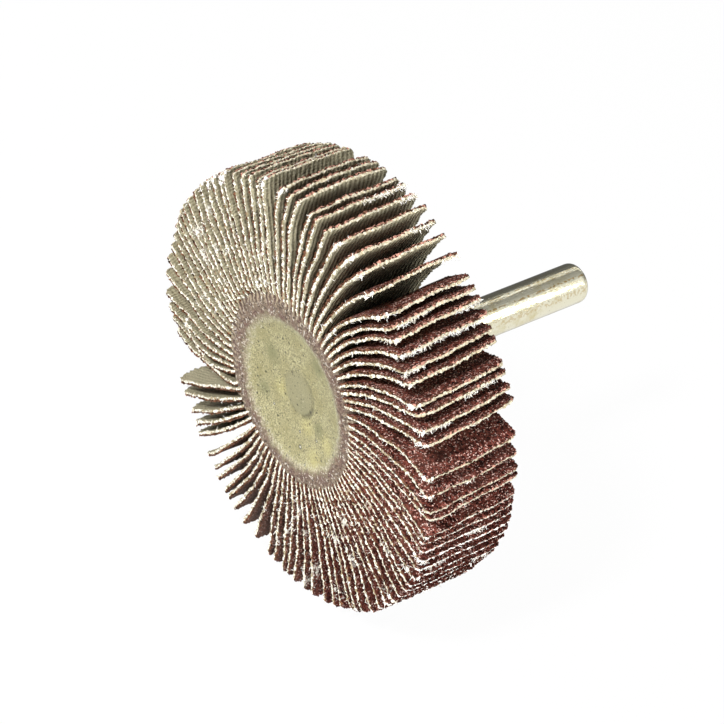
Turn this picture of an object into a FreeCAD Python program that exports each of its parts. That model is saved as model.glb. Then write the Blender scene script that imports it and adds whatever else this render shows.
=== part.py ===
"""Mounted flap wheel: strips of abrasive cloth cast into a resin hub on a steel shank.

The shank lies along +Y. The wheel's back is the plane y = 0 and its front face looks
along -Y. Clock positions are degrees about the shank, from +X towards +Z, so they run
anticlockwise to someone who looks at the front face. Sizes are in millimetres.
"""
import FreeCAD, Part
import math
import os
from FreeCAD import Vector

# Wheel
wheel_radius = 32.0
wheel_width = 15.0

# Flaps of coated cloth
flap_count = 88
flaps_in_pair = 2
flap_thickness = 0.65
flap_corner_cut = 0.7
flap_flat_end = 1.0
flap_root_depth = 2.6

# How far each stretch of the wheel is combed over, as used: clock position of the
# flap's root, and the angle that the flap turns through between its root and its tip
bend_stations = (
    (5.0, 29.0),
    (16.5, 31.0),
    (20.0, 18.0),
    (30.0, 21.0),
    (38.0, 27.0),
    (50.0, 31.0),
    (62.0, 31.0),
    (65.5, 22.0),
    (86.0, 19.0),
    (104.0, 15.0),
    (150.0, 15.0),
    (168.0, 23.0),
    (184.0, 36.0),
    (200.5, 55.0),
    (204.0, 12.0),
    (222.0, 9.0),
    (225.0, 4.0),
    (246.0, 9.0),
    (257.0, 3.0),
    (275.0, 6.0),
    (300.0, 8.0),
    (325.0, 11.0),
    (345.0, 18.0),
)

# Cast resin hub
hub_radius = 14.2
dish_radius = 11.3
dish_floor_radius = 10.2
dish_depth = 1.1

# Steel shank
shank_radius = 3.0
shank_reach = 36.0
shank_end_rounding = 1.3
resin_over_shank = 0.4

# Knurled grip that the resin holds
grip_rise = 0.3
grip_groove_depth = 0.4
grip_groove_count = 8

wheel_axis = Vector(0, 1, 0)
centre = Vector(0, 0, 0)

bent_length = wheel_radius - hub_radius - flap_flat_end
root_inner_radius = hub_radius - flap_root_depth
grip_radius = shank_radius + grip_rise
grip_end = -dish_depth
shank_inner_end = -wheel_width + dish_depth + resin_over_shank


def bend_at(clock):
    """Bend of the flap rooted at a clock position, between the two nearest stations."""
    first, last = bend_stations[0], bend_stations[-1]
    wrapped = (
        (last[0] - 360.0, last[1]),
        *bend_stations,
        (first[0] + 360.0, first[1]),
    )
    for (before, bend_before), (after, bend_after) in zip(wrapped, wrapped[1:]):
        if before <= clock <= after:
            share = (clock - before) / (after - before)
            return bend_before + share * (bend_after - bend_before)
    raise ValueError("a clock position is from 0 to 360")


def revolve(corners):
    """Solid turned about the shank's axis from the corners of its half section."""
    outline = Part.makePolygon([*corners, corners[0]])
    return Part.Face(outline).revolve(centre, wheel_axis, 360)


def line(start, end):
    return Part.LineSegment(start, end).toShape()


def arc(start, middle, end):
    return Part.Arc(start, middle, end).toShape()


def flap(clock):
    """One strip: a straight root in the resin, a bent free length and a flat end."""
    half = flap_thickness / 2
    bend = math.radians(bend_at(clock))
    bend_radius = bent_length / bend

    def on_bend(angle, offset):
        """Point beside the strip's middle line, offset to its outer side."""
        reach = (bend_radius + offset) * math.sin(angle)
        drop = bend_radius - (bend_radius + offset) * math.cos(angle)
        return Vector(hub_radius + reach, 0, -drop)

    along_end = Vector(math.cos(bend), 0, -math.sin(bend)) * flap_flat_end
    tip = on_bend(bend, 0) + along_end
    inner_low = Vector(root_inner_radius, 0, -half)
    inner_high = Vector(root_inner_radius, 0, half)
    outline = Part.Wire([
        line(inner_low, on_bend(0, -half)),
        arc(on_bend(0, -half), on_bend(bend / 2, -half), on_bend(bend, -half)),
        line(on_bend(bend, -half), on_bend(bend, -half) + along_end),
        line(on_bend(bend, -half) + along_end, on_bend(bend, half) + along_end),
        line(on_bend(bend, half) + along_end, on_bend(bend, half)),
        arc(on_bend(bend, half), on_bend(bend / 2, half), on_bend(0, half)),
        line(on_bend(0, half), inner_high),
        line(inner_high, inner_low),
    ])
    strip = Part.Face(outline).extrude(Vector(0, -wheel_width, 0))

    tip_corners = [tip, tip - Vector(0, wheel_width, 0)]
    corner_edges = [
        edge for edge in strip.Edges
        if any(edge.CenterOfMass.distanceToPoint(corner) < half / 2 for corner in tip_corners)
    ]
    strip = strip.makeChamfer(flap_corner_cut, corner_edges)
    strip.rotate(centre, -wheel_axis, clock)
    return strip


def flap_pocket(clock):
    """Room in the resin for one flap's straight root."""
    past_rim = hub_radius + flap_thickness
    pocket = Part.makeBox(
        past_rim - root_inner_radius, wheel_width, flap_thickness,
        Vector(root_inner_radius, -wheel_width, -flap_thickness / 2),
    )
    pocket.rotate(centre, -wheel_axis, clock)
    return pocket


def grip_groove(turn):
    """Right-angled groove along the shank's inner end."""
    bottom = Vector(grip_radius - grip_groove_depth, shank_inner_end, 0)
    low = bottom + Vector(2 * grip_groove_depth, 0, -2 * grip_groove_depth)
    high = bottom + Vector(2 * grip_groove_depth, 0, 2 * grip_groove_depth)
    section = Part.Face(Part.makePolygon([bottom, low, high, bottom]))
    groove = section.extrude(Vector(0, grip_end - shank_inner_end, 0))
    groove.rotate(centre, -wheel_axis, turn)
    return groove


def shank():
    """Plain rod with a rounded free end and a knurled stretch inside the resin."""
    end_radius = shank_radius - shank_end_rounding
    middle = shank_end_rounding * math.sqrt(0.5)
    rod = revolve([
        Vector(0, shank_inner_end, 0),
        Vector(grip_radius, shank_inner_end, 0),
        Vector(grip_radius, grip_end, 0),
        Vector(shank_radius, grip_end, 0),
        Vector(shank_radius, shank_reach - shank_end_rounding, 0),
        Vector(end_radius + middle, shank_reach - shank_end_rounding + middle, 0),
        Vector(end_radius, shank_reach, 0),
        Vector(0, shank_reach, 0),
    ])
    turns = [360.0 * number / grip_groove_count for number in range(grip_groove_count)]
    return rod.cut([grip_groove(turn) for turn in turns])


def resin_hub(shank_solid, clocks):
    """Casting with a dished disc on each face, poured flush with the flaps' edges."""
    back = [
        Vector(hub_radius, 0, 0),
        Vector(dish_radius, 0, 0),
        Vector(dish_floor_radius, -dish_depth, 0),
        Vector(0, -dish_depth, 0),
    ]
    front = [Vector(point.x, -wheel_width - point.y, 0) for point in reversed(back)]
    casting = revolve([*back, *front])
    pockets = [flap_pocket(clock) for clock in clocks]
    return casting.cut([shank_solid, *pockets])


def save(name, shape):
    shape.exportStep(os.path.join("parts", name + ".step"))


def main():
    os.makedirs("parts", exist_ok=True)
    clocks = [360.0 * number / flap_count for number in range(flap_count)]
    shank_solid = shank()
    save("shank", shank_solid)
    save("resin_hub", resin_hub(shank_solid, clocks))
    for first in range(0, flap_count, flaps_in_pair):
        group = [flap(clock) for clock in clocks[first:first + flaps_in_pair]]
        number = first // flaps_in_pair + 1
        save(f"flap_pair_{number:02d}", Part.makeCompound(group))


main()
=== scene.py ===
# %% [markdown]
# # A mounted flap wheel
#
# This lesson dresses a flap wheel for looks. The wheel is made of three kinds of piece: a plated steel
# shank, a hub of cast resin, and 88 strips of abrasive cloth whose roots are set in the resin. The
# solids come from CAD as a fixed frame, and every piece made here lies where its solid lies.
#
# The shank runs along +Y. The wheel's front face is the plane y = -15 mm and looks along -Y. A clock
# position is an angle about the shank, from +X towards +Z.

# %% The fixed frame
import math
import random

import bmesh
import bpy
from mathutils import Matrix, Vector


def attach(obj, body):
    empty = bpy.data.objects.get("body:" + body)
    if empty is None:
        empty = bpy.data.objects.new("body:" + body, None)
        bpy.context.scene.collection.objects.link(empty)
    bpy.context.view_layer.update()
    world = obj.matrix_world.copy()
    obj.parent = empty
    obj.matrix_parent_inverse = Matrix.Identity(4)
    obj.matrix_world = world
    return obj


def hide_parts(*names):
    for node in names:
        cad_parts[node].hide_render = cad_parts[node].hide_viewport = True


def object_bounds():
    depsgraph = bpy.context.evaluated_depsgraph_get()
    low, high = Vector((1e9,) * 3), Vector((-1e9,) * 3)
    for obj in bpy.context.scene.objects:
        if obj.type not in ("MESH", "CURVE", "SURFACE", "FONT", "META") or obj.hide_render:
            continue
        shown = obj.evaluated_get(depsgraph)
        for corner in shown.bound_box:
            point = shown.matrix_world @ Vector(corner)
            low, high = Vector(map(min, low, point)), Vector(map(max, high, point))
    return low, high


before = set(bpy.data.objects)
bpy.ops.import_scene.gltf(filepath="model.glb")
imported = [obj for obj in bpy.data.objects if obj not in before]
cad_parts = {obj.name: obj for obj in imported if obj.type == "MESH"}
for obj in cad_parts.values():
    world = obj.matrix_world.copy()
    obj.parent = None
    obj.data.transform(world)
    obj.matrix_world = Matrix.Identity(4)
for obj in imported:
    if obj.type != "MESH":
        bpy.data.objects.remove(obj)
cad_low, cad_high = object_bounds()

mm = 0.001
print("solids from CAD:", len(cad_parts))

# %% [markdown]
# ## Small helpers
#
# An operator acts on whatever is selected, and the CAD nodes arrive selected. So each piece starts with
# nothing selected, and inside edit mode faces, edges or points are picked in code by their place. Other
# helpers apply a modifier, and add shader nodes with their values.

# %% Helpers for modelling
def start_clean():
    """Back to object mode with nothing selected."""
    if bpy.context.mode != "OBJECT":
        bpy.ops.object.mode_set(mode="OBJECT")
    bpy.ops.object.select_all(action="DESELECT")


def add_object(name, data):
    """New object in the scene."""
    made = bpy.data.objects.new(name, data)
    bpy.context.scene.collection.objects.link(made)
    return made


def finish_primitive(name):
    """Name the new primitive and move its place and turn into its mesh."""
    piece = bpy.context.object
    piece.name = name
    piece.data.name = name
    bpy.ops.object.transform_apply(location=True, rotation=True, scale=True)
    return piece


def middle_of(part):
    """Centre of a face or edge, or the place of a point."""
    if isinstance(part, bmesh.types.BMFace):
        return part.calc_center_median()
    if isinstance(part, bmesh.types.BMEdge):
        return (part.verts[0].co + part.verts[1].co) / 2
    return part.co


def pick(kind, wanted):
    """In edit mode, select the faces, edges or points for which wanted(centre, part) is true."""
    bpy.ops.mesh.select_mode(type=kind)
    bpy.ops.mesh.select_all(action="DESELECT")
    data = bpy.context.edit_object.data
    mesh = bmesh.from_edit_mesh(data)
    parts = {"FACE": mesh.faces, "EDGE": mesh.edges, "VERT": mesh.verts}[kind]
    for part in parts:
        if wanted(middle_of(part), part):
            part.select_set(True)
    bmesh.update_edit_mesh(data)


def cut_across(place, normal):
    """Bisect the whole mesh in edit mode with a plane."""
    bpy.ops.mesh.select_all(action="SELECT")
    bpy.ops.mesh.bisect(plane_co=place, plane_no=normal)


def apply_modifier(piece, kind, **settings):
    """Add one modifier, set it and apply it."""
    modifier = piece.modifiers.new(kind.lower(), kind)
    for name, value in settings.items():
        setattr(modifier, name, value)
    bpy.context.view_layer.objects.active = piece
    bpy.ops.object.modifier_apply(modifier=modifier.name)


def clouds(name, size):
    """Coloured cloud texture, whose three channels push points in three directions."""
    texture = bpy.data.textures.new(name, "CLOUDS")
    texture.cloud_type = "COLOR"
    texture.noise_scale = size
    texture.noise_depth = 1
    return texture


def push_about(piece, texture, depth, group=""):
    """Move the points of a piece, or of one of its groups, by a cloud texture."""
    apply_modifier(
        piece, "DISPLACE", texture=texture, texture_coords="LOCAL", direction="RGB_TO_XYZ",
        strength=depth, mid_level=0.5, vertex_group=group,
    )


def join_as(name, parts):
    """Join parts into one piece."""
    start_clean()
    for part in parts:
        part.select_set(True)
    bpy.context.view_layer.objects.active = parts[0]
    bpy.ops.object.join()
    joined = bpy.context.object
    joined.name = name
    joined.data.name = name
    return joined


def smooth_by_angle(piece, degrees):
    """Smooth shading, with edges sharper than the angle left sharp."""
    start_clean()
    piece.select_set(True)
    bpy.context.view_layer.objects.active = piece
    bpy.ops.object.shade_smooth_by_angle(angle=math.radians(degrees))
    start_clean()


# %% Helpers for materials
def paint(red, green, blue):
    """A colour as seen on a screen, from 0 to 255, in the shader's linear values."""
    def linear(value):
        share = value / 255
        return share / 12.92 if share <= 0.04045 else ((share + 0.055) / 1.055) ** 2.4
    return (linear(red), linear(green), linear(blue), 1.0)


def fill(tree, socket, value):
    """Set an input socket to a value, or link it where the value is an output socket."""
    if isinstance(value, bpy.types.NodeSocket):
        tree.links.new(value, socket)
    else:
        socket.default_value = value


def add_node(tree, kind, inputs=None, **settings):
    """Add a node, its settings first, and fill its input sockets."""
    made = tree.nodes.new(kind)
    for name, value in settings.items():
        setattr(made, name, value)
    for name, value in (inputs or {}).items():
        fill(tree, made.inputs[name], value)
    return made


def mix_colours(tree, share, first, second):
    """Colour mix node: the first colour at share 0 and the second at share 1."""
    inputs = {0: share, 6: first, 7: second}
    return add_node(tree, "ShaderNodeMix", inputs, data_type="RGBA", clamp_factor=True).outputs[2]


def calculate(tree, operation, first, second=0.0):
    """Math node on two values."""
    return add_node(tree, "ShaderNodeMath", {0: first, 1: second}, operation=operation).outputs[0]


def times(tree, first, second):
    return calculate(tree, "MULTIPLY", first, second)


def plus(tree, first, second):
    return calculate(tree, "ADD", first, second)


def gap_between(tree, first, second):
    """How far apart two values are."""
    return calculate(tree, "ABSOLUTE", calculate(tree, "SUBTRACT", first, second))


def spread(tree, value, low, high, to_low=0.0, to_high=1.0, soft=False):
    """Map a value from one range to another and clamp it."""
    made = add_node(
        tree, "ShaderNodeMapRange",
        {"Value": value, "From Min": low, "From Max": high, "To Min": to_low, "To Max": to_high},
        interpolation_type="SMOOTHSTEP" if soft else "LINEAR",
    )
    return made.outputs["Result"]


def object_place(tree):
    """Place on the piece, which is also the place on the wheel."""
    return add_node(tree, "ShaderNodeTexCoord").outputs["Object"]


def axes_of(tree, place):
    """The X, Y and Z outputs of a place."""
    return add_node(tree, "ShaderNodeSeparateXYZ", {0: place}).outputs


def new_material(name):
    """Material with one Principled shader, whose tree is returned with it."""
    material = bpy.data.materials.new(name)
    material.use_nodes = True
    return material, material.node_tree, material.node_tree.nodes["Principled BSDF"]


def fill_shader(tree, shader, colour, roughness, specular=0.5):
    """The three inputs that every finish here sets."""
    fill(tree, shader.inputs["Base Color"], colour)
    fill(tree, shader.inputs["Roughness"], roughness)
    fill(tree, shader.inputs["Specular IOR Level"], specular)


# %% [markdown]
# ## Camera
#
# The camera comes first, because everything else is judged through it. It stands to the front and right
# of the wheel and above it, and its long lens keeps the wheel's far edge almost as large as its near one.

# %% Camera
camera_place = Vector((282.27, -207.92, 227.34)) * mm
camera_right = Vector((0.58779, 0.80902, 0.0))
camera_up = Vector((-0.44063, 0.32013, 0.83868))
camera_back = camera_right.cross(camera_up)
focal_pixels = 3000
picture_pixels = 724
sensor_width = 36.0

camera_data = bpy.data.cameras.new("camera")
camera_data.sensor_width = sensor_width
camera_data.lens = focal_pixels / picture_pixels * sensor_width
camera_data.clip_start = 0.01
camera_data.clip_end = 5
camera = add_object("camera", camera_data)
axes = Matrix((camera_right, camera_up, camera_back)).transposed()
camera.matrix_world = Matrix.Translation(camera_place) @ axes.to_4x4()
bpy.context.scene.camera = camera
print("camera lens in millimetres:", round(camera_data.lens, 1))

# %% [markdown]
# ## Floor, light and background
#
# The wheel is photographed in a white light tent. The camera sees the floor and the world as plain
# white, and the floor still takes a soft shadow. Reflections see both differently: the tent as bright
# and grey strips from left to right, and the floor darker towards the left, which gives round steel its
# bands. A lamp high in front lights the cut edges of the cloth. Weaker ones stand to the left and to
# the right, and two low ones light the flaps near the floor and the gap at the lower left.

# %% Floor
floor_width = 3.0
floor_white_share = 0.97
floor_grey_on_the_left = (-0.05, 0.0)
floor_least = 0.12
start_clean()
bpy.ops.mesh.primitive_plane_add(size=floor_width, location=(0, 0, cad_low.z))
floor = finish_primitive("floor")
floor_material, tree, shader = new_material("white_floor")
fill_shader(tree, shader, paint(236, 236, 236), 0.9)
path = add_node(tree, "ShaderNodeLightPath").outputs
seen = calculate(tree, "MAXIMUM", path["Is Camera Ray"], path["Is Glossy Ray"])
left, right = floor_grey_on_the_left
from_the_left = spread(tree, axes_of(tree, object_place(tree))["X"], left, right, floor_least, 1.0)
brightness = calculate(tree, "MAXIMUM", from_the_left, path["Is Camera Ray"])
white = add_node(tree, "ShaderNodeEmission", {"Color": (1, 1, 1, 1), "Strength": brightness})
share = times(tree, seen, floor_white_share)
blend = add_node(tree, "ShaderNodeMixShader", {0: share, 1: shader.outputs[0], 2: white.outputs[0]})
tree.links.new(blend.outputs[0], tree.nodes["Material Output"].inputs["Surface"])
floor.data.materials.append(floor_material)
print("floor width in metres:", floor_width)

# %% World
soft_light = 0.12
tent_stops = (
    (0.0, 0.05), (0.10, 0.11), (0.20, 0.17), (0.275, 0.30), (0.295, 1.8), (0.342, 1.8),
    (0.36, 0.28), (0.50, 0.36), (0.72, 0.55), (0.75, 1.05), (0.912, 1.05), (0.922, 0.6),
)
world = bpy.data.worlds.new("light_tent")
world.use_nodes = True
bpy.context.scene.world = world
tree = world.node_tree
background = tree.nodes["Background"]
path = add_node(tree, "ShaderNodeLightPath").outputs
direction = add_node(tree, "ShaderNodeTexCoord").outputs["Generated"]
sideways = axes_of(tree, direction)["X"]
tent = add_node(tree, "ShaderNodeValToRGB", {"Fac": spread(tree, sideways, -1.0, 1.0)})
for position, brightness in tent_stops:
    stop = tent.color_ramp.elements.new(position)
    stop.color = (brightness, brightness, brightness, 1)
tent.color_ramp.elements.remove(tent.color_ramp.elements[-1])
mirrored = times(tree, tent.outputs["Color"], path["Is Glossy Ray"])
bright = calculate(tree, "MAXIMUM", mirrored, path["Is Camera Ray"])
fill(tree, background.inputs["Strength"], calculate(tree, "MAXIMUM", bright, soft_light))
fill(tree, background.inputs["Color"], (1, 1, 1, 1))
bpy.context.scene.view_settings.view_transform = "Standard"
print("shades of the tent:", len(tent_stops))


# %% Lamps
def add_lamp(name, place, width, power):
    """Square area lamp that looks at the wheel's centre. Its place is in metres."""
    data = bpy.data.lights.new(name, "AREA")
    data.size = width
    data.energy = power
    lamp = add_object(name, data)
    lamp.location = place
    lamp.rotation_mode = "QUATERNION"
    lamp.rotation_quaternion = Vector(place).to_track_quat("Z", "Y")
    print(name, "of", power, "watts")


add_lamp("front_lamp", (0.12, -0.36, 0.48), 0.10, 4.2)
add_lamp("left_lamp", (-0.42, -0.22, 0.40), 0.25, 1.0)
add_lamp("right_lamp", (0.46, 0.28, 0.20), 0.20, 1.0)
add_lamp("low_lamp", (0.50, -0.20, 0.04), 0.20, 2.6)
add_lamp("gap_lamp", (-0.50, -0.15, 0.02), 0.25, 2.7)

# %% [markdown]
# ## Shared effects
#
# Soft patches, grit, round dots, ribs and dust are node groups, since most turn up in several finishes.
# A group puts out only masks and heights, and the colours stay in the material that uses them. Sizes
# are in millimetres. The dust's spots are a clock position, a radius and a size each.


# %% Node groups
def new_group(name, outputs, **numbers):
    """Empty node group that takes a place and some numbers, and gives the named outputs."""
    group = bpy.data.node_groups.new(name, "ShaderNodeTree")
    group.interface.new_socket("Place", in_out="INPUT", socket_type="NodeSocketVector")
    for socket_name, value in numbers.items():
        socket = group.interface.new_socket(socket_name, in_out="INPUT", socket_type="NodeSocketFloat")
        socket.default_value = value
    for socket_name in outputs:
        group.interface.new_socket(socket_name, in_out="OUTPUT", socket_type="NodeSocketFloat")
    return group, group.nodes.new("NodeGroupInput").outputs, group.nodes.new("NodeGroupOutput").inputs


def per_metre(tree, size):
    """Turn a size in millimetres into a texture scale."""
    return calculate(tree, "DIVIDE", 1000.0, size)


patches, given, result = new_group("patches", ["Mask"], Size=1.0, Low=0.4, High=0.6)
noise = add_node(patches, "ShaderNodeTexNoise", {
    "Vector": given["Place"], "Scale": per_metre(patches, given["Size"]), "Detail": 3.0, "Roughness": 0.6,
})
patches.links.new(spread(patches, noise.outputs["Fac"], given["Low"], given["High"]), result["Mask"])

grit, given, result = new_group("grit", ["Tone", "Height"], Size=0.3)
inputs = {"Vector": given["Place"], "Scale": per_metre(grit, given["Size"])}
cells = add_node(grit, "ShaderNodeTexVoronoi", inputs)
tone = add_node(grit, "ShaderNodeSeparateColor", {0: cells.outputs["Color"]})
dome = spread(grit, cells.outputs["Distance"], 0.0, 0.75, 1.0, 0.0)
grit.links.new(tone.outputs[0], result["Tone"])
raised = times(grit, dome, plus(grit, tone.outputs[1], 0.35))
grit.links.new(raised, result["Height"])

dots, given, result = new_group("dots", ["Mask"], Spacing=0.6, Radius=0.25, Share=0.3)
inputs = {"Vector": given["Place"], "Scale": per_metre(dots, given["Spacing"])}
cells = add_node(dots, "ShaderNodeTexVoronoi", inputs, voronoi_dimensions="2D")
chosen = add_node(dots, "ShaderNodeSeparateColor", {0: cells.outputs["Color"]})
present = calculate(dots, "LESS_THAN", chosen.outputs[0], given["Share"])
size = times(dots, given["Radius"], plus(dots, chosen.outputs[1], 0.3))
inside = spread(dots, cells.outputs["Distance"], size, times(dots, size, 0.5))
dots.links.new(times(dots, present, inside), result["Mask"])

yarn_kinds = (("Warp", "Z", 1000.0, 0.4), ("Weft", "X", 1400.0, 1.6))
ribs, given, result = new_group("ribs", ["Warp", "Weft"], Pitch=0.7)
wander = add_node(ribs, "ShaderNodeTexNoise", {"Vector": given["Place"], "Scale": 700.0, "Detail": 2.0})
for name, axis, density, wandering in yarn_kinds:
    turns = times(ribs, axes_of(ribs, given["Place"])[axis], density)
    turns = calculate(ribs, "DIVIDE", turns, given["Pitch"])
    turns = plus(ribs, turns, times(ribs, wander.outputs["Fac"], wandering))
    wave = calculate(ribs, "SINE", times(ribs, turns, 2 * math.pi))
    ribs.links.new(spread(ribs, wave, -1.0, 1.0), result[name])


def use_group(tree, group, **values):
    """Place a group in a tree. Values are given by the names of its inputs."""
    return add_node(tree, "ShaderNodeGroup", values, node_tree=group).outputs


def on_the_face(tree, apart):
    """Place on the wheel's face, seen along the shank."""
    return add_node(tree, "ShaderNodeCombineXYZ", {0: apart["X"], 1: apart["Z"]}).outputs[0]


def distance_from(tree, flat, x, z):
    """Distance on the face from a spot given in millimetres."""
    inputs = {0: flat, 1: Vector((x, z, 0)) * mm}
    return add_node(tree, "ShaderNodeVectorMath", inputs, operation="DISTANCE").outputs["Value"]


def patch_mask(tree, place, size, low, high):
    """Soft patches of a size in millimetres, on between two levels of the noise."""
    return use_group(tree, patches, Place=place, Size=size, Low=low, High=high)["Mask"]


def add_bump(tree, shader, height, depth):
    """Bump of a given depth in metres under the shader."""
    bump = add_node(tree, "ShaderNodeBump", {"Height": height, "Strength": 1.0, "Distance": depth})
    tree.links.new(bump.outputs[0], shader.inputs["Normal"])


dust_spots = (
    (162, 17.8, 0.9), (155, 15.9, 0.7), (110, 16.6, 0.9), (108, 20.5, 0.8), (104, 22.5, 0.7), (146, 27, 1.6),
    (150, 24, 1.4), (134, 28, 1.2), (140, 23, 1.0), (166, 22, 0.9), (275, 18.4, 1.3), (280, 22, 1.0),
    (282, 27.5, 1.6), (276, 30, 1.2), (242, 17, 0.9), (300, 21, 1.2), (306, 24, 1.4), (311, 19, 0.9),
    (292, 29, 1.0), (318, 29.6, 1.0), (57, 16.3, 0.6), (330, 26, 1.0), (124, 25, 0.8), (266, 24, 0.8),
)
dust, given, result = new_group("dust", ["Mask"])
apart = axes_of(dust, given["Place"])
flat = on_the_face(dust, apart)
nearness = 0.0
for clock, radius, size in dust_spots:
    angle = math.radians(clock)
    gap = distance_from(dust, flat, radius * math.cos(angle), radius * math.sin(angle))
    nearness = calculate(dust, "MAXIMUM", spread(dust, gap, 0, 1.6 * size * mm, 1.0, 0.0), nearness)
flecks = add_node(dust, "ShaderNodeTexNoise", {"Vector": given["Place"], "Scale": 2600.0, "Detail": 2.0})
ragged = plus(dust, times(dust, nearness, 0.4), flecks.outputs["Fac"])
ragged = spread(dust, ragged, 0.72, 0.95)
on_the_front = spread(dust, apart["Y"], -13.5 * mm, -14.6 * mm)
dust.links.new(times(dust, ragged, on_the_front), result["Mask"])

print("node groups:", [group.name for group in (patches, grit, dots, ribs, dust)])

# %% [markdown]
# ## Steel shank
#
# The shank is a drawn and plated rod of 6 mm. It could be a lathe profile, but a cylinder is nearly the
# finished rod: its free end is bevelled round, and the stretch inside the resin is drawn out a little
# and grooved, so that the resin grips it. Fine drawing lines run along it, so its roughness changes
# round the rod and hardly along it.

# %% Shank
shank_radius = 3.0 * mm
shank_reach = 36.0 * mm
shank_inner_end = -13.5 * mm
shank_end_rounding = 1.3 * mm
grip_end = -1.1 * mm
grip_rise = 0.3 * mm
grip_groove_depth = 0.4 * mm
grip_groove_count = 8
faces_round_the_shank = 96

start_clean()
bpy.ops.mesh.primitive_cylinder_add(
    vertices=faces_round_the_shank, radius=shank_radius, depth=shank_reach - shank_inner_end,
    location=(0, (shank_reach + shank_inner_end) / 2, 0), rotation=(math.radians(90), 0, 0),
)
shank = finish_primitive("plated_shank")
bpy.ops.object.mode_set(mode="EDIT")
cut_across((0, grip_end, 0), (0, 1, 0))
pick("EDGE", lambda centre, edge: centre.y > shank_reach - mm)
bpy.ops.mesh.bevel(offset=shank_end_rounding, segments=8, affect="EDGES")
pick("FACE", lambda centre, face: centre.y < grip_end and abs(face.normal.y) < 0.5)
bpy.ops.mesh.extrude_region_shrink_fatten(TRANSFORM_OT_shrink_fatten={"value": grip_rise})


def in_a_groove(centre, face):
    """One face in twelve round the grip, which makes eight grooves."""
    turn = math.degrees(math.atan2(centre.z, centre.x)) % (360 / grip_groove_count)
    return centre.y < grip_end and abs(face.normal.y) < 0.5 and turn < 360 / faces_round_the_shank


pick("FACE", in_a_groove)
bpy.ops.mesh.extrude_region_shrink_fatten(TRANSFORM_OT_shrink_fatten={"value": -grip_groove_depth})
smooth_by_angle(shank, 35)
print("shank faces:", len(shank.data.polygons))

# %% Plated steel
tarnish_streaks = ((50, 4, 0.85), (25, 3, 0.7), (9, 12, 0.45), (38, 6, 0.25), (80, 3, 0.7), (71, 2, 0.6))

steel, tree, shader = new_material("plated_steel")
place = object_place(tree)
stretched = add_node(tree, "ShaderNodeMapping", {"Vector": place, "Scale": (1.0, 0.08, 1.0)}).outputs[0]
lines = patch_mask(tree, stretched, 0.25, 0.35, 0.65)
smears = patch_mask(tree, place, 2.2, 0.45, 0.7)
specks = patch_mask(tree, place, 0.3, 0.66, 0.72)
colour = mix_colours(tree, smears, paint(232, 228, 204), paint(214, 204, 164))
colour = mix_colours(tree, specks, colour, paint(120, 104, 80))
apart = axes_of(tree, place)
turn = times(tree, calculate(tree, "ARCTAN2", apart["Z"], apart["X"]), 180 / math.pi)
blotches = patch_mask(tree, place, 0.45, 0.48, 0.56)
for streak_clock, streak_width, depth in tarnish_streaks:
    inside = spread(tree, gap_between(tree, turn, streak_clock), streak_width / 2, streak_width, 1.0, 0.0)
    tarnish = times(tree, inside, blotches)
    colour = mix_colours(tree, times(tree, tarnish, depth), colour, paint(186, 154, 94))
roughness = plus(tree, spread(tree, lines, 0, 1, 0.07, 0.16), spread(tree, smears, 0, 1, 0, 0.06))
fill_shader(tree, shader, colour, roughness)
fill(tree, shader.inputs["Metallic"], 1.0)
add_bump(tree, shader, lines, 0.012 * mm)
shank.data.materials.append(steel)
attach(shank, "root")
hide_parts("shank")
print("streaks of tarnish:", len(tarnish_streaks))

# %% [markdown]
# ## Cast resin hub
#
# The resin is poured into a mould that holds the flaps by their roots. It sets with a shallow dish on
# each face, soaks into the cloth round the dish and ends in a ragged rim between the flaps. The hub
# starts as a cylinder whose two end faces are inset again and again, each time to a named radius and
# height, so that both faces get the same dish. Noise then makes the ring lumpy.

# %% Hub
wheel_width = 15.0 * mm
rim_radius = 15.4 * mm
rim_depth = -1.3
dish_steps = (
    (15.0, -0.95), (14.7, -0.62), (14.4, -0.38), (14.0, -0.2), (13.6, -0.1), (13.1, -0.03),
    (12.6, 0.0), (12.1, 0.0), (11.7, -0.03), (11.4, -0.1), (11.1, -0.2), (10.8, -0.32),
    (10.3, -0.46), (9.6, -0.62), (8.6, -0.78), (7.2, -0.92), (5.4, -1.04), (3.4, -1.09), (1.6, -1.1),
)
wide_side = 150
wide_side_push = 0.8 * mm
push_from, push_to = 12.5 * mm, 14.5 * mm
lumps_from, lumps_to = 10.8 * mm, 12.4 * mm
lump_size = 0.6 * mm
lump_depth = 0.7 * mm
faces_round_the_hub = 264

start_clean()
bpy.ops.mesh.primitive_cylinder_add(
    vertices=faces_round_the_hub, radius=rim_radius, depth=wheel_width + 2 * rim_depth * mm,
    location=(0, -wheel_width / 2, 0), rotation=(math.radians(90), 0, 0),
)
hub = finish_primitive("cast_resin_hub")
bpy.ops.object.mode_set(mode="EDIT")
pick("FACE", lambda centre, face: abs(face.normal.y) > 0.9)
radius_now, height_now = rim_radius / mm, rim_depth
for radius, height in dish_steps:
    bpy.ops.mesh.inset(thickness=(radius_now - radius) * mm, depth=(height - height_now) * mm)
    radius_now, height_now = radius, height
bpy.ops.mesh.poke()
start_clean()


def ramp(value, low, high):
    """0 below low, 1 above high, and straight between."""
    return min(max((value - low) / (high - low), 0.0), 1.0)


def on_the_wide_side(clock):
    """1 where the resin has run furthest between the flaps, and 0 on the other side."""
    return ramp(math.cos(math.radians(clock - wide_side)), 0.2, 0.9)


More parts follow.
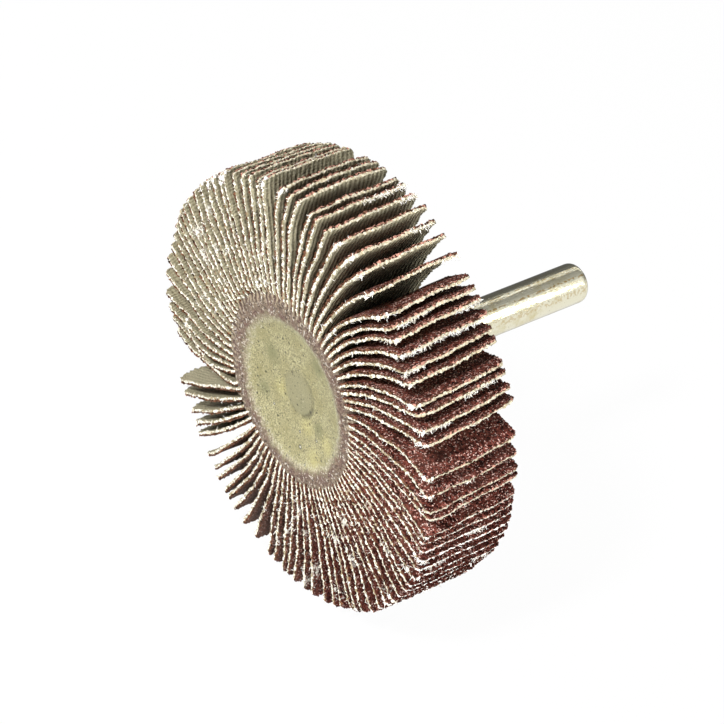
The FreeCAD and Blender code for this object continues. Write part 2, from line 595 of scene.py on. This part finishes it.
ring_points = hub.vertex_groups.new(name="ring")
for point in hub.data.vertices:
    reach = math.hypot(point.co.x, point.co.z)
    clock = math.degrees(math.atan2(point.co.z, point.co.x))
    push = wide_side_push * on_the_wide_side(clock) * ramp(reach, push_from, push_to)
    wider = 1 + push / max(reach, mm)
    point.co.x *= wider
    point.co.z *= wider
    ring_points.add([point.index], ramp(reach, lumps_from, lumps_to), "REPLACE")
push_about(hub, clouds("resin_lumps", lump_size), lump_depth, "ring")
smooth_by_angle(hub, 60)
print("hub faces:", len(hub.data.polygons))

# %% [markdown]
# The dish is pale olive resin, full of tiny pits darkened with painted shade and tiny white dots that
# are painted glints. A few larger bubbles get painted shade in their hollows and a painted glint each,
# and a faint print of the shank's end in its middle is painted darker, most on its right, as painted
# shade of its groove. Round it the resin has wicked into the cut cloth and is brown-grey and fibrous.
# All of this depends on the distance from the axis, so the material measures it.

# %% Cast resin
olive_spots = ((-5.5, 3.7, 2.6), (5.5, 6.9, 2.2), (5.3, -3.3, 2.0), (1.7, -1.8, 2.4), (-7.5, -3.0, 2.0))
yellow_spots = ((2.5, -4.2, 2.6), (4.7, -8.5, 3.0), (-3.5, -1.0, 2.4), (7.5, -4.5, 2.5))
bubble_spots = ((1.1, -8.3, 0.45), (0.8, -6.0, 0.3), (-5.3, -4.6, 0.3), (4.9, -5.3, 0.28), (2.8, -10.2, 0.25))
print_centre = (0.5, 0.2)
print_radius = 3.4
flap_count = 88

resin, tree, shader = new_material("cast_resin")
place = object_place(tree)
apart = axes_of(tree, place)
flat = on_the_face(tree, apart)
reach = distance_from(tree, flat, 0, 0)

fine = patch_mask(tree, place, 0.22, 0.36, 0.64)
smudges = patch_mask(tree, place, 2.6, 0.42, 0.68)
colour = mix_colours(tree, fine, paint(102, 97, 66), paint(178, 172, 132))
colour = mix_colours(tree, times(tree, smudges, 0.75), colour, paint(134, 128, 88))
stains = ((yellow_spots, 0.4, paint(184, 174, 112)), (olive_spots, 0.85, paint(114, 114, 80)))
for spots, depth, stain in stains:
    for spot_x, spot_z, spot_radius in spots:
        gap = distance_from(tree, flat, spot_x, spot_z)
        inside = spread(tree, gap, 0, spot_radius * mm, depth, 0.0, soft=True)
        colour = mix_colours(tree, inside, colour, stain)
print_reach = distance_from(tree, flat, *print_centre)
in_print = spread(tree, print_reach, (print_radius - 0.5) * mm, print_radius * mm, 1.0, 0.0)
colour = mix_colours(tree, times(tree, in_print, 0.75), colour, paint(132, 128, 98))
print_line = gap_between(tree, print_reach, print_radius * mm)
print_line = spread(tree, print_line, 0.1 * mm, 0.55 * mm, 1.0, 0.0)
# The print's groove is painted darker, most on its right side, as painted shade, and broken up where worn.
print_shade_and_wear = spread(tree, apart["X"], -2 * mm, 3 * mm, 0.15, 1.0)
worn_line = patch_mask(tree, place, 0.9, 0.4, 0.6)
print_shade_and_wear = times(tree, print_shade_and_wear, spread(tree, worn_line, 0, 1, 0.35, 1.0))
colour = mix_colours(tree, times(tree, print_line, print_shade_and_wear), colour, paint(96, 92, 66))

# Tiny white dots are painted glints. The pits and holes are dented in the bump and darkened with painted
# shade.
painted_glint_dots = use_group(tree, dots, Place=flat, Spacing=0.7, Radius=0.12, Share=0.2)["Mask"]
shaded_pits = use_group(tree, dots, Place=flat, Spacing=0.5, Radius=0.26, Share=0.34)["Mask"]
shaded_holes = use_group(tree, dots, Place=flat, Spacing=1.5, Radius=0.13, Share=0.4)["Mask"]
colour = mix_colours(tree, times(tree, painted_glint_dots, 0.6), colour, paint(224, 220, 198))
colour = mix_colours(tree, times(tree, shaded_pits, 0.75), colour, paint(76, 70, 48))
colour = mix_colours(tree, times(tree, shaded_holes, 0.9), colour, paint(52, 48, 34))
height = calculate(tree, "SUBTRACT", times(tree, fine, 0.3), times(tree, print_line, 0.6))
height = calculate(tree, "SUBTRACT", height, calculate(tree, "MAXIMUM", shaded_pits, shaded_holes))
# Each larger bubble is dented in the bump, with painted shade in its hollow and a painted glint in its
# middle.
for spot_x, spot_z, spot_radius in bubble_spots:
    gap = distance_from(tree, flat, spot_x, spot_z)
    inside = spread(tree, gap, 0.6 * spot_radius * mm, spot_radius * mm, 0.9, 0.0)
    painted_bubble_glint = spread(tree, gap, 0.2 * spot_radius * mm, 0.45 * spot_radius * mm, 0.9, 0.0)
    colour = mix_colours(tree, inside, colour, paint(84, 82, 66))
    colour = mix_colours(tree, painted_bubble_glint, colour, paint(214, 212, 198))
    height = calculate(tree, "SUBTRACT", height, times(tree, inside, 1.5))

wobble = patch_mask(tree, place, 0.7, 0.2, 0.8)
drift = patch_mask(tree, place, 2.4, 0.3, 0.7)
fibres = patch_mask(tree, place, 0.3, 0.35, 0.65)
ragged = plus(tree, reach, times(tree, wobble, 0.9 * mm))
ragged = plus(tree, ragged, times(tree, drift, 0.9 * mm))
ragged = plus(tree, ragged, times(tree, fibres, 0.4 * mm))
in_ring = spread(tree, ragged, 11.6 * mm, 13.1 * mm)
border = times(tree, spread(tree, ragged, 11.3 * mm, 11.9 * mm), spread(tree, fibres, 0.4, 0.9))
border = times(tree, border, spread(tree, ragged, 12.9 * mm, 12.1 * mm))
soot = patch_mask(tree, place, 1.4, 0.4, 0.65)
turn = calculate(tree, "ARCTAN2", apart["Z"], apart["X"])
stripes = plus(tree, times(tree, turn, flap_count), times(tree, wobble, 3))
stripes = spread(tree, calculate(tree, "SINE", stripes), -0.3, 0.6)
outer = spread(tree, ragged, 14.1 * mm, 15.5 * mm)
ring_colour = mix_colours(tree, fibres, paint(58, 42, 32), paint(150, 132, 110))
ring_colour = mix_colours(tree, times(tree, soot, 0.6), ring_colour, paint(104, 72, 66))
flecks = patch_mask(tree, place, 0.42, 0.58, 0.64)
ring_colour = mix_colours(tree, times(tree, flecks, 0.75), ring_colour, paint(216, 208, 194))
stripe_colour = mix_colours(tree, stripes, paint(66, 44, 34), paint(180, 164, 136))
ring_colour = mix_colours(tree, times(tree, outer, 0.6), ring_colour, stripe_colour)
colour = mix_colours(tree, in_ring, colour, ring_colour)
colour = mix_colours(tree, times(tree, border, 0.45), colour, paint(206, 203, 184))
fill_shader(tree, shader, colour, spread(tree, in_ring, 0, 1, 0.42, 0.85))
rough_ring = times(tree, times(tree, fibres, in_ring), 2.5)
add_bump(tree, shader, plus(tree, height, rough_ring), 0.06 * mm)
hub.data.materials.append(resin)
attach(hub, "root")
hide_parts("resin_hub")
print("larger bubbles:", len(bubble_spots))

# %% [markdown]
# ## One flap
#
# A flap is a strip of cotton cloth with a coat of abrasive grain on one side. It is cut from a roll, so
# its edges are raw: a cream line of frayed yarn with a thin line of grain beside it. One flat flap is
# modelled first, in its own frame: its length runs along X from the resin's edge, Z is the wheel's
# width and Y its thickness, with the grain on the +Y side. A box is the right start. Its outer corners
# are bevelled, a plane parts cloth from grain and more planes cut it into a grid fine enough to bend.
# Only the edges that run beside the rim are divided again, finely enough to fray.

# %% Flat flap
hub_radius = 14.2 * mm
flap_length = 17.8 * mm
flap_flat_end = 1.0 * mm
flap_root_depth = 2.6 * mm
flap_thickness = 0.6 * mm
cloth_share = 0.54
flap_corner_rounding = 0.45 * mm
grid_step = 1.25 * mm
frayed_band = 0.3 * mm
cuts_along_the_rim = 8

half_thickness = flap_thickness / 2
grain_starts = -half_thickness + cloth_share * flap_thickness
tiny = 0.01 * mm

start_clean()
bpy.ops.mesh.primitive_cube_add(
    size=1, location=((flap_length - flap_root_depth) / 2, 0, wheel_width / 2),
    scale=(flap_length + flap_root_depth, flap_thickness, wheel_width),
)
flat_flap = finish_primitive("flat_flap")
bpy.ops.object.mode_set(mode="EDIT")
pick("EDGE", lambda centre, edge: centre.x > flap_length - tiny and abs(centre.y) < tiny
     and abs(centre.z - wheel_width / 2) > mm)
bpy.ops.mesh.bevel(offset=flap_corner_rounding, segments=3, affect="EDGES")
cut_across((0, grain_starts, 0), (0, 1, 0))
cut_across((0, (grain_starts - half_thickness) / 2, 0), (0, 1, 0))
for number in range(int(flap_length / grid_step) + 1):
    cut_across((number * grid_step, 0, 0), (1, 0, 0))
for number in range(1, round(wheel_width / grid_step)):
    cut_across((0, 0, number * grid_step), (0, 0, 1))
cut_across((flap_length - frayed_band, 0, 0), (1, 0, 0))
cut_across((0, 0, frayed_band), (0, 0, 1))
cut_across((0, 0, wheel_width - frayed_band), (0, 0, 1))


def along_the_rim(centre, edge):
    """Edges that run beside one of the three free edges of the strip."""
    run = (edge.verts[1].co - edge.verts[0].co).normalized()
    beside = min(centre.z, wheel_width - centre.z) < frayed_band + tiny
    at_the_tip = flap_length - centre.x < frayed_band + tiny
    return centre.x > 0 and (beside and abs(run.x) > 0.9 or at_the_tip and abs(run.z) > 0.9)


pick("EDGE", along_the_rim)
bpy.ops.mesh.subdivide(number_cuts=cuts_along_the_rim)
start_clean()
print("faces of one flap:", len(flat_flap.data.polygons))

# %% [markdown]
# Each point keeps its place on the flat flap in an attribute, so that ribs and grain follow the cloth
# when it bends. Two point groups say how freely a point may move: not at all in the resin, more
# towards the tip, and most along the raw edges. The lists of edge points say where threads may start.

# %% Flap attributes and groups
free_group = flat_flap.vertex_groups.new(name="free")
edge_group = flat_flap.vertex_groups.new(name="edge")
free_from, free_to = 0.5 * mm, 7 * mm
loose_band = 0.45 * mm
bare_root = 2 * mm
corner_reach = 1.5 * mm
front_edge = []
front_corner = []
tip_edge = {}
for point in flat_flap.data.vertices:
    place = point.co
    to_tip = flap_length - place.x
    to_side = min(place.z, wheel_width - place.z)
    free_group.add([point.index], ramp(place.x, free_from, free_to), "REPLACE")
    looseness = (1 - ramp(min(to_tip, to_side), 0, loose_band)) * ramp(place.x, 0, mm)
    edge_group.add([point.index], looseness, "REPLACE")
    if place.x > bare_root and place.y < grain_starts:
        if place.z > wheel_width - mm / 10:
            front_edge.append(point.index)
        if to_tip < corner_reach and wheel_width - place.z < mm and looseness > 0.9:
            front_corner.append(point.index)
        if to_tip < mm / 10:
            tip_edge[point.index] = place.z / wheel_width
flat_flap.data.attributes.new("flat_place", "FLOAT_VECTOR", "POINT")
for point, entry in zip(flat_flap.data.vertices, flat_flap.data.attributes["flat_place"].data):
    entry.vector = point.co
print("edge points:", len(front_edge), len(front_corner), len(tip_edge))

# %% [markdown]
# ## Finishes of the flap
#
# The back of the cloth is a khaki twill whose ribs run out from the resin. Before the gap the ribs are
# pressed flat, and the threads across them show instead. The raw edge is cream and fluffy, with a painted
# highlight on its beads and painted shade between them, and it is painted whitest along the low tips as a
# painted highlight. The grain is a coarse maroon crust, duller on the wheel's left and deeper at its lower
# right, and its pale specks are painted glints. Where it was cut, its broken rim is a finish of its own,
# painted lighter at the tips as a painted highlight. Each face of the flat flap gets one of the four by its
# place and the way it looks, and the copies keep them.

# %% Cloth, raw edge, grain and its rim
flap_label = 5 * mm
dust_colour = paint(240, 237, 226)
flattest_flap = 44


def flat_place(tree):
    """Place on the flat flap. A copy adds flap_label times its number to Y, so that no two are alike."""
    return add_node(tree, "ShaderNodeAttribute", attribute_name="flat_place").outputs["Vector"]


def mask_at_the_tip(tree, place):
    """1 on the last stretch of the flap, along the rim of the wheel."""
    return spread(tree, axes_of(tree, place)["X"], flap_length - 0.5 * mm, flap_length - 0.2 * mm)


def finish_flap(tree, shader, colour, roughness, specular):
    """Fill the shader, with dust over the colour. Dust lies on the wheel, not on the flat flap."""
    dusted = use_group(tree, dust, Place=object_place(tree))["Mask"]
    fill_shader(tree, shader, mix_colours(tree, dusted, colour, dust_colour), roughness, specular)


khaki, tree, shader = new_material("khaki_cloth")
place = flat_place(tree)
yarns = use_group(tree, ribs, Place=place, Pitch=0.7)
slub = patch_mask(tree, place, 0.35, 0.3, 0.7)
number = calculate(tree, "DIVIDE", axes_of(tree, place)["Y"], flap_label)
warp_share = spread(tree, gap_between(tree, number, flattest_flap), 12, 20, 0.2, 1.0)
weft_share = spread(tree, warp_share, 0.2, 1.0, 0.4, 0.2)
rib = plus(tree, times(tree, yarns["Warp"], warp_share), times(tree, yarns["Weft"], weft_share))
soil = patch_mask(tree, place, 5.0, 0.42, 0.7)
colour = mix_colours(tree, rib, paint(102, 95, 69), paint(190, 184, 155))
colour = mix_colours(tree, times(tree, slub, 0.3), colour, paint(192, 186, 160))
colour = mix_colours(tree, times(tree, soil, 0.3), colour, paint(126, 110, 88))
finish_flap(tree, shader, colour, 0.92, 0.2)
add_bump(tree, shader, plus(tree, rib, times(tree, slub, 0.7)), 0.18 * mm)

raw_edge, tree, shader = new_material("raw_cloth_edge")
place = flat_place(tree)
at_tip = mask_at_the_tip(tree, place)
beads = use_group(tree, grit, Place=place, Size=0.32)["Height"]
# Bead colour: a painted highlight on each bead of frayed yarn, and painted shade between the beads.
painted_bead_light = spread(tree, beads, 0.05, 0.3)
dirt = patch_mask(tree, place, 2.5, 0.42, 0.66)
colour = mix_colours(tree, painted_bead_light, paint(146, 134, 104), paint(245, 244, 229))
colour = mix_colours(tree, times(tree, dirt, 0.35), colour, paint(178, 150, 124))
# Painted light: at the tips the raw edge is painted whiter low on the wheel and duller high up, a painted
# highlight on the low tips.
painted_light_low_down = spread(tree, axes_of(tree, object_place(tree))["Z"], 0.0, -10 * mm)
lit_tip_colour = mix_colours(tree, painted_light_low_down, paint(190, 178, 148), paint(255, 253, 246))
lit_tip_share = times(tree, at_tip, spread(tree, painted_light_low_down, 0, 1, 0.6, 1.0))
colour = mix_colours(tree, lit_tip_share, colour, lit_tip_colour)
finish_flap(tree, shader, colour, 0.95, 0.2)
add_bump(tree, shader, beads, 0.16 * mm)

grain, tree, shader = new_material("maroon_grain")
place = flat_place(tree)
coarse = use_group(tree, grit, Place=place, Size=0.36)
fine = use_group(tree, grit, Place=place, Size=0.15)
worn = patch_mask(tree, place, 4.0, 0.4, 0.7)
colour = mix_colours(tree, coarse["Tone"], paint(34, 8, 5), paint(140, 77, 66))
# Pale specks on the grain are painted glints.
colour = mix_colours(tree, spread(tree, fine["Tone"], 0.89, 0.91), colour, paint(236, 200, 188))
colour = mix_colours(tree, spread(tree, fine["Tone"], 0.2, 0.18), colour, paint(24, 6, 4))
colour = mix_colours(tree, times(tree, worn, 0.25), colour, paint(134, 88, 76))
apart = axes_of(tree, object_place(tree))
dulled = times(tree, spread(tree, apart["X"], 8 * mm, -8 * mm), 0.6)
colour = mix_colours(tree, dulled, colour, paint(100, 80, 69))
deeper = times(tree, spread(tree, apart["Z"], -6 * mm, -18 * mm), 0.6)
deeper = times(tree, deeper, spread(tree, apart["X"], -2 * mm, 8 * mm))
colour = mix_colours(tree, deeper, colour, paint(50, 18, 13))
finish_flap(tree, shader, colour, spread(tree, fine["Tone"], 0, 1, 0.4, 0.8), 0.06)
crust = plus(tree, coarse["Height"], times(tree, fine["Height"], 0.5))
add_bump(tree, shader, crust, 0.3 * mm)

grain_rim, tree, shader = new_material("grain_rim")
place = flat_place(tree)
at_tip = mask_at_the_tip(tree, place)
broken = use_group(tree, grit, Place=place, Size=0.26)
colour = mix_colours(tree, broken["Tone"], paint(26, 12, 7), paint(128, 88, 66))
# Painted highlight: the grain of the rim is painted lighter at the tips than along the side edges.
painted_tip_highlight = times(tree, spread(tree, broken["Tone"], 0.5, 0.7), at_tip)
colour = mix_colours(tree, painted_tip_highlight, colour, paint(184, 136, 120))
finish_flap(tree, shader, colour, 0.85, 0.06)
add_bump(tree, shader, broken["Height"], 0.2 * mm)

flap_finishes = (khaki, raw_edge, grain, grain_rim)
for finish in flap_finishes:
    flat_flap.data.materials.append(finish)
for face in flat_flap.data.polygons:
    if face.normal.y < -0.9:
        finish = khaki
    elif face.center.y < grain_starts:
        finish = raw_edge
    elif face.normal.y > 0.9:
        finish = grain
    else:
        finish = grain_rim
    face.material_index = flap_finishes.index(finish)
print("finishes:", [finish.name for finish in flap_finishes])

# %% [markdown]
# ## Loose threads
#
# Threads hang from the raw edges, stand in tufts at many corners and hang in fringes from some tips.
# There are hundreds, so each is a three-sided tube of a few faces, and three of them, bent differently,
# are enough to copy from. A tuft also has lumps of cotton: small balls pushed out of shape by clouds.

# %% Threads
white_thread, tree, shader = new_material("loose_thread")
tint = patch_mask(tree, object_place(tree), 1.2, 0.4, 0.65)
fill_shader(tree, shader, mix_colours(tree, tint, paint(252, 251, 248), paint(226, 218, 200)), 0.9)

thread_radius = 0.045 * mm
thread_length = 1.0 * mm
thread_bends = 4
thread_curls = (20, 60, 120)
threads = []
for curl in thread_curls:
    start_clean()
    bpy.ops.mesh.primitive_cylinder_add(
        vertices=3, radius=thread_radius, depth=thread_length,
        location=(thread_length / 2, 0, 0), rotation=(0, math.radians(90), 0),
    )
    thread = finish_primitive("loose_thread")
    bpy.ops.object.mode_set(mode="EDIT")
    for number in range(1, thread_bends):
        cut_across((number * thread_length / thread_bends, 0, 0), (1, 0, 0))
    start_clean()
    apply_modifier(
        thread, "SIMPLE_DEFORM", deform_method="BEND", deform_axis="Z", angle=math.radians(curl),
    )
    thread.data.materials.append(white_thread)
    threads.append(thread.data)
    bpy.data.objects.remove(thread)

lump_sizes = (0.7, 0.9, 1.1)
lumps = []
for size in lump_sizes:
    start_clean()
    bpy.ops.mesh.primitive_ico_sphere_add(subdivisions=2, radius=mm)
    lump = finish_primitive("cotton_lump")
    push_about(lump, clouds("lump_shape", size * mm), 1.6 * mm)
    lump.data.materials.append(white_thread)
    lumps.append(lump.data)
    bpy.data.objects.remove(lump)
print("faces of a thread:", len(threads[0].polygons), "and of a lump:", len(lumps[0].polygons))

# %% [markdown]
# ## The ring of flaps
#
# A used wheel has its flaps combed over to one side, more in some stretches than in others. Each flap's
# root and bend, both in degrees, were set against the photograph. Every copy of the flat flap is worn at
# its tip, bent and set on the hub. There it is twisted, since the back edges are combed over less than
# the front ones, most of all on the wheel's right. Last it is waved a little, so that no two are alike,
# and frayed along its raw edges. The flaps before the gap are worn short, and those after it have
# rounded corners. Two neighbours share one piece, because their solids share one node.

# %% Roots and bends
flap_settings = (
    (-2.5, 30), (1.5, 23), (5.5, 30), (10.5, 32), (16, 34), (21.5, 21), (25.5, 23), (29.5, 23),
    (33.5, 29), (38, 25), (42.5, 30), (46.5, 30), (50.5, 30), (54, 32), (58, 35), (62.5, 28),
    (66.5, 23), (71, 23), (75.3, 22), (79.6, 21), (83.6, 20), (86.8, 21), (91.8, 19), (95.3, 20),
    (100, 23), (104.5, 14), (108.2, 19), (111.5, 17), (115, 17), (118.9, 17), (123, 14), (126.5, 19),
    (130.5, 20), (134.5, 21), (139, 22), (143.5, 22), (147, 20), (150.5, 20), (154, 22), (158, 27),
    (162, 31), (166.8, 34), (171.3, 35), (175.2, 33), (179.5, 30), (183.8, 24), (188, 28), (191.8, 36),
    (196, 48), (202, 73), (205.3, 5), (211, 13), (215.5, 10), (219.3, 10), (223.3, 14), (228.3, 10),
    (232.3, 10), (236, 13), (239.7, 12), (243.3, 17), (247, 18), (251, 16), (255.3, 12), (259, 2),
    (262.8, 6), (266.8, 6), (270.8, 12), (275, 15), (279, 13), (283, 14), (287.8, 11), (291.9, 10),
    (295.7, 11), (299.4, 7), (302.9, 13), (307.2, 18), (310.5, 12), (314.7, 12), (318.7, 12), (322.7, 14),
    (327, 16), (330.8, 14), (335, 20), (338.3, 17), (342.7, 19), (346.3, 20), (350.3, 23), (354, 26),
)
flaps_in_pair = 2
stiffest_root = 7.5 * mm
stiff_from, stiff_to = 170, 201


def stiff_length(clock):
    """Straight length above the root: it grows towards the gap at the lower left."""
    if clock > stiff_to:
        return 0.0
    return stiffest_root * ramp(clock, stiff_from, stiff_to) ** 2


print("roots and bends:", len(flap_settings))

# %% Bent flaps
whole_length = flap_length + flap_root_depth
bend_to = (whole_length - flap_flat_end) / whole_length
waves = clouds("cloth_waves", 6 * mm)
fraying = clouds("edge_fraying", 0.3 * mm)
wave_depth = 0.7 * mm
fray_depth = 0.5 * mm
root_slope = 1.0 * mm
drawn_in = 0.5 * mm
least_cover, most_cover, wide_side_cover = -1.0, 0.1, 1.6
mean_twist, twist_swing, twist_clock = 0.75, 1.45, 18
corner_wear, rounded_corner_wear, corner_width = 0.3 * mm, 1.1 * mm, 3 * mm
# Flaps are counted from 0 here
worn_flaps = {45: 0.4 * mm, 46: 0.8 * mm, 47: 1.4 * mm, 48: 2.2 * mm, 49: 2.6 * mm}
rounded_flaps = (50, 51, 52, 53, 54, 55, 56)
tufted_flaps = (3, 4, 5, 8, 9, 11, 12, 14, 15, 16, 17, 18, 24, 61, 79, 83)
# Flap, and the stretch of its tip, from the back at 0 to the front at 1
fringes = (
    (20, 0.0, 0.5), (19, 0.0, 0.2), (17, 0.1, 0.3), (15, 0.0, 0.2), (13, 0.6, 0.9), (12, 0.0, 0.3),
    (11, 0.1, 0.95), (10, 0.8, 1.0), (7, 0.1, 0.5), (6, 0.7, 0.9), (3, 0.5, 0.6), (86, 0.3, 0.5),
    (84, 0.7, 0.9), (82, 0.1, 0.3), (78, 0.4, 0.6), (76, 0.1, 0.3),
)
fringe_share = 0.7
front_threads, tip_threads = 10, 5
tuft_lumps, tuft_threads = 4, 18
# Least and greatest sizes
front_sizes, tip_sizes, fringe_sizes = (0.15, 0.4), (0.15, 0.35), (0.25, 0.6)
tuft_sizes, lump_limits = (0.2, 0.6), (0.1, 0.26)
thread_thickness = 0.8
full_turn = 6.28
other_tufts = 0.15
tip_lag = 0.27
draw = random.Random(88)


def covered_length(clock):
    """How far the resin laps over a root: further on the wheel's upper left side."""
    return (draw.uniform(least_cover, most_cover) + wide_side_cover * on_the_wide_side(clock)) * mm


forwards = Vector((0, -1, 0))


def directions(clock):
    """Unit vectors out from the axis, and along the rim towards the cloth side."""
    angle = math.radians(clock)
    return Vector((math.cos(angle), 0, math.sin(angle))), Vector((math.sin(angle), 0, -math.cos(angle)))


def on_the_wheel(clock):
    """Matrix that takes the flat flap's frame to a clock position on the hub."""
    radial, cloth_side = directions(clock)
    frame_axes = Matrix((radial, -cloth_side, forwards)).transposed().to_4x4()
    return frame_axes @ Matrix.Translation((hub_radius, 0, 0))


def wear_down(flap, worn, rounding):
    """Shorten the free length by what is worn off its tip, and more at its two corners."""
    for point in flap.data.vertices:
        to_side = min(point.co.z, wheel_width - point.co.z)
        lost = worn + rounding * (1 - ramp(to_side, 0, corner_width)) ** 2
        if point.co.x > 0:
            point.co.x *= 1 - lost / flap_length


def draw_in_root(flap, covered_to):
    """Draw the side edges in where the resin laps over the root."""
    middle = wheel_width / 2
    for point in flap.data.vertices:
        if point.co.x < covered_to:
            share = min((covered_to - point.co.x) / root_slope, 1.0)
            point.co.z = middle + (point.co.z - middle) * (1 - share * drawn_in / middle)


def twist_at(clock):
    """Degrees by which a tip's back corner is combed over less than its front corner."""
    return max(mean_twist + twist_swing * math.cos(math.radians(clock - twist_clock)), 0.0)


def twist(flap, clock):
    """Turn the points of a flap on the wheel about the shank, most at the tip's back corner."""
    for point in flap.data.vertices:
        reach = math.hypot(point.co.x, point.co.z)
        to_the_back = ramp(point.co.y, -wheel_width, 0)
        share = ramp(reach, hub_radius + 0.5 * mm, hub_radius + flap_length) * to_the_back
        turn = Matrix.Rotation(-math.radians(twist_at(clock)) * share, 3, "Y")
        point.co = turn @ point.co


def bent_flap(number):
    """One flap in its place on the wheel."""
    clock, bend = flap_settings[number]
    stiff = stiff_length(clock)
    bend_from = (flap_root_depth + stiff) / whole_length
    flap = add_object(f"flap_{number + 1:02d}", flat_flap.data.copy())
    for group in flat_flap.vertex_groups:
        flap.vertex_groups.new(name=group.name)
    draw_in_root(flap, covered_length(clock))
    rounding = rounded_corner_wear if number in rounded_flaps else corner_wear
    wear_down(flap, worn_flaps.get(number, 0.0), rounding)
    flap.data.transform(Matrix.Translation((-stiff, 0, 0)))
    apply_modifier(
        flap, "SIMPLE_DEFORM", deform_method="BEND", deform_axis="Z", limits=(bend_from, bend_to),
        angle=math.radians(-bend),
    )
    flap.data.transform(on_the_wheel(clock) @ Matrix.Translation((stiff, 0, 0)))
    twist(flap, clock)
    push_about(flap, waves, wave_depth, "free")
    push_about(flap, fraying, fray_depth, "edge")
    for entry in flap.data.attributes["flat_place"].data:
        entry.vector.y += flap_label * (number + 1)
    return flap


def add_copy(mesh, place, turn, sizes):
    """A copy of a small mesh with its place and turn in the mesh."""
    copy = add_object(mesh.name, mesh.copy())
    copy.data.transform(Matrix.LocRotScale(place, turn, Vector(sizes)))
    return copy


def add_thread(place, outwards, size, looseness):
    """One loose thread that starts at a point and leans outwards."""
    lean = Vector((draw.uniform(-1, 1), draw.uniform(-1, 1), draw.uniform(-1, 1))) * looseness
    roll = Matrix.Rotation(draw.uniform(0, full_turn), 4, "X").to_quaternion()
    turn = (outwards + lean).to_track_quat("X", "Z") @ roll
    return add_copy(draw.choice(threads), place, turn, (size, thread_thickness, thread_thickness))


def fluff(flap, number):
    """Loose threads along one flap's edges, its fringes, and sometimes a tuft at its front corner."""
    clock, bend = flap_settings[number]
    radial, cloth_side = directions(clock - tip_lag * bend)
    combed = radial * 0.5 + cloth_side * 0.9 + forwards * 0.6
    points = flap.data.vertices
    added = []

    def grow(indices, outwards, sizes, looseness=0.9):
        """A thread at each of some points."""
        for index in indices:
            added.append(add_thread(points[index].co.copy(), outwards, draw.uniform(*sizes), looseness))

    grow(draw.sample(front_edge, front_threads), forwards * 0.8, front_sizes)
    grow(draw.sample(sorted(tip_edge), tip_threads), radial * 0.8, tip_sizes)
    for fringed, low, high in fringes:
        chosen = [index for index, share in tip_edge.items() if fringed == number and low < share < high]
        grow(draw.sample(chosen, int(fringe_share * len(chosen))), combed, fringe_sizes, 0.5)
    if draw.random() < (1.0 if number in tufted_flaps else other_tufts):
        for lump_number in range(tuft_lumps):
            corner = points[draw.choice(front_corner)].co.copy()
            size = draw.uniform(*lump_limits)
            turn = Vector((draw.uniform(-1, 1), -1, draw.uniform(-1, 1))).to_track_quat("X", "Z")
            added.append(add_copy(draw.choice(lumps), corner, turn, (size, 0.8 * size, 1.5 * size)))
        corners = (draw.choice(front_corner) for thread_number in range(tuft_threads))
        grow(corners, forwards * 0.4 + radial * 0.4, tuft_sizes)
    return added


# %% Pairs of flaps
thread_count = 0
for first in range(0, flap_count, flaps_in_pair):
    parts = []
    for number in range(first, first + flaps_in_pair):
        flap = bent_flap(number)
        added = fluff(flap, number)
        thread_count += len(added)
        parts += [flap, *added]
    pair_number = first // flaps_in_pair + 1
    pair = join_as(f"cloth_flaps_{pair_number:02d}", parts)
    pair.vertex_groups.clear()
    smooth_by_angle(pair, 50)
    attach(pair, "root")
    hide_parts(f"flap_pair_{pair_number:02d}")
bpy.data.objects.remove(flat_flap)
print("flaps:", flap_count, "threads and lumps:", thread_count)

# %% [markdown]
# Worn cotton also gathers as lint: white smudges that lie across the front edges of several flaps. Each
# is a scatter of the same threads, laid flat round a spot given by clock position, radius and count.

# %% Lint
lint_spots = (
    (142, 26, 16), (133, 22, 12), (150, 18, 12), (118, 15.5, 14), (160, 15, 12), (98, 18, 10),
    (262, 27, 16), (270, 22, 12), (300, 20, 14), (318, 18, 12), (292, 29, 14), (215, 17, 8),
    (334, 29.5, 20),
)
lint_spread_outwards = 0.96
lint_spread_sideways = 0.36
lint_in_front = 15.1
lint_sizes = (0.15, 0.4)
strands = []
for clock, radius, count in lint_spots:
    radial, cloth_side = directions(clock)
    for number in range(count):
        place = radial * (radius + draw.gauss(0, lint_spread_outwards))
        place -= cloth_side * draw.gauss(0, lint_spread_sideways)
        place += forwards * (lint_in_front - draw.uniform(-0.1, 0.15))
        level = Vector((draw.uniform(-1, 1), draw.uniform(-0.2, 0.2), draw.uniform(-1, 1)))
        strands.append(add_thread(place * mm, level * 4, draw.uniform(*lint_sizes), 0.9))
lint = join_as("cotton_lint", strands)
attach(lint, "root")
print("lint strands:", len(strands))
